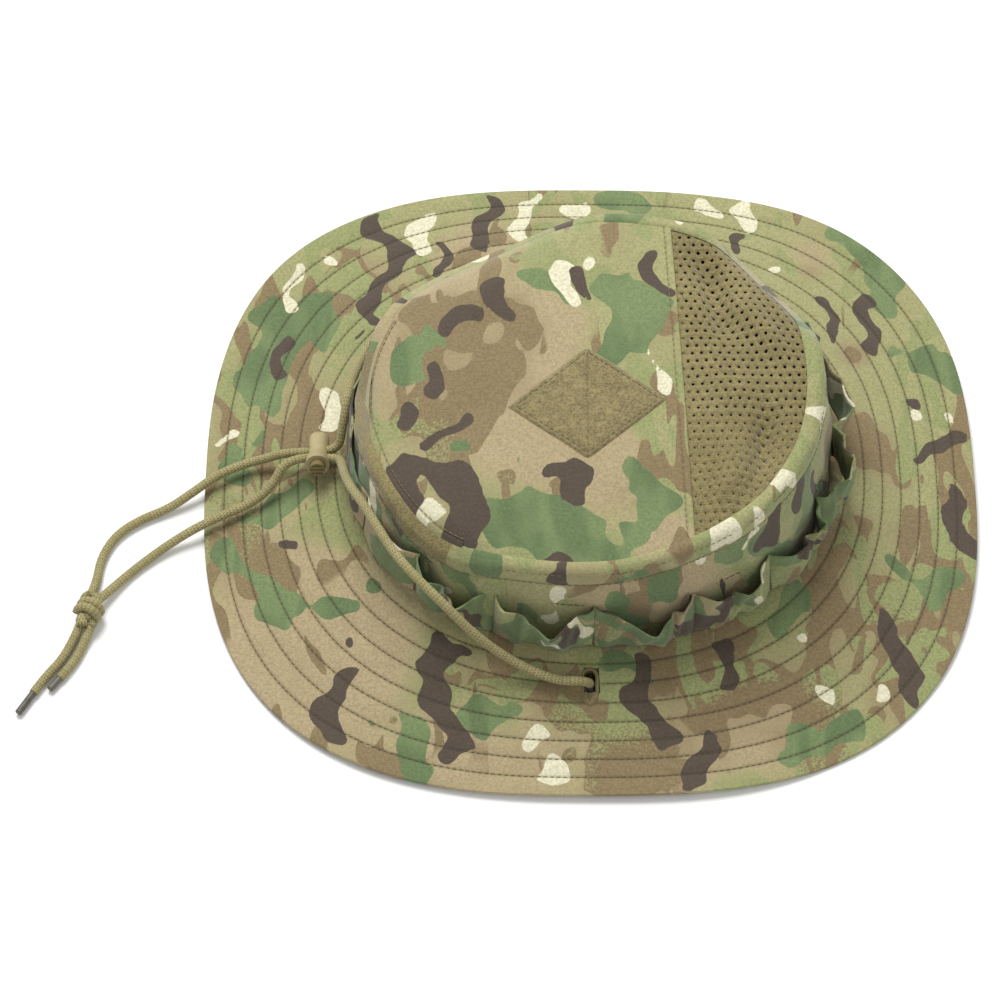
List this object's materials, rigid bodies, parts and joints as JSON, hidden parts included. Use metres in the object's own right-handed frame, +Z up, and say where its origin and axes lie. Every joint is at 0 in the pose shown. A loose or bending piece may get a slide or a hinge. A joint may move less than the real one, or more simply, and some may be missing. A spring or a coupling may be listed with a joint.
{
  "type": "boonie hat",
  "caption": "Soft wide-brimmed field hat with a stitched brim, foliage loops round a low crown, mesh top panels and a knotted chin cord with a sliding lock.",
  "frame": {"origin": "on the surface that the brim rests on, under the middle of the brim", "axes": "+X towards the front of the hat, opposite the chin cord; +Y towards the wearer's left; +Z up, out of the top of the crown"},
  "size_m": [0.3935, 0.304, 0.0818],
  "materials": {
    "camouflage_cloth": "printed ripstop cotton",
    "olive_mesh": "knitted mesh",
    "stiffener": "woven interlining",
    "sweatband_cloth": "cotton",
    "binding_tape": "twill tape",
    "stitching": "satin-stitched thread",
    "loop_pile": "hook-and-loop pile",
    "cord": "braided cord",
    "lock_plastic": "moulded",
    "spring_steel": "wire",
    "aglet_plastic": "crimped tip"
  },
  "bodies": {
    "hat": {"crown_mesh_front": "olive_mesh", "crown_mesh_rear": "olive_mesh", "crown_top_panel": "camouflage_cloth", "crown_wall_left": "camouflage_cloth", "crown_wall_right": "camouflage_cloth", "crown_edge_band": "camouflage_cloth", "foliage_strip": "camouflage_cloth", "foliage_loop_01": "camouflage_cloth", "foliage_loop_02": "camouflage_cloth", "foliage_loop_03": "camouflage_cloth", "foliage_loop_04": "camouflage_cloth", "foliage_loop_05": "camouflage_cloth", "foliage_loop_06": "camouflage_cloth", "foliage_loop_07": "camouflage_cloth", "foliage_loop_08": "camouflage_cloth", "foliage_loop_09": "camouflage_cloth", "foliage_loop_10": "camouflage_cloth", "foliage_loop_11": "camouflage_cloth", "foliage_loop_12": "camouflage_cloth", "foliage_loop_13": "camouflage_cloth", "foliage_loop_14": "camouflage_cloth", "foliage_loop_15": "camouflage_cloth", "foliage_loop_16": "camouflage_cloth", "brim_top": "camouflage_cloth", "brim_underside": "camouflage_cloth", "brim_interlining": "stiffener", "sweatband": "sweatband_cloth", "seam_tape_front": "binding_tape", "seam_tape_rear": "binding_tape", "foliage_bartacks": "stitching", "buttonhole_left": "stitching", "buttonhole_right": "stitching", "loop_patch": "loop_pile", "chin_cord_right": "cord", "chin_cord_left": "cord", "chin_cord_under": "cord", "chin_cord_tail_a": "cord", "chin_cord_tail_b": "cord", "chin_cord_knot": "cord", "aglet_a": "aglet_plastic", "aglet_b": "aglet_plastic"},
    "cord_lock": {"cord_lock_body": "lock_plastic", "cord_lock_spring": "spring_steel"},
    "lock_button": {"cord_lock_button": "lock_plastic"}
  },
  "joints": [
    {"name": "lock_slide", "type": "slide", "parent": "hat", "child": "cord_lock", "axis": [-1, 0, 0], "range_m": [0, 0.004]},
    {"name": "button_press", "type": "slide", "parent": "cord_lock", "child": "lock_button", "axis": [0, 0.9397, -0.342], "range_m": [0, 0.0025], "stiffness_N_per_m": 400, "springref_m": -0.001, "deforming": ["cord_lock_spring"]}
  ]
}
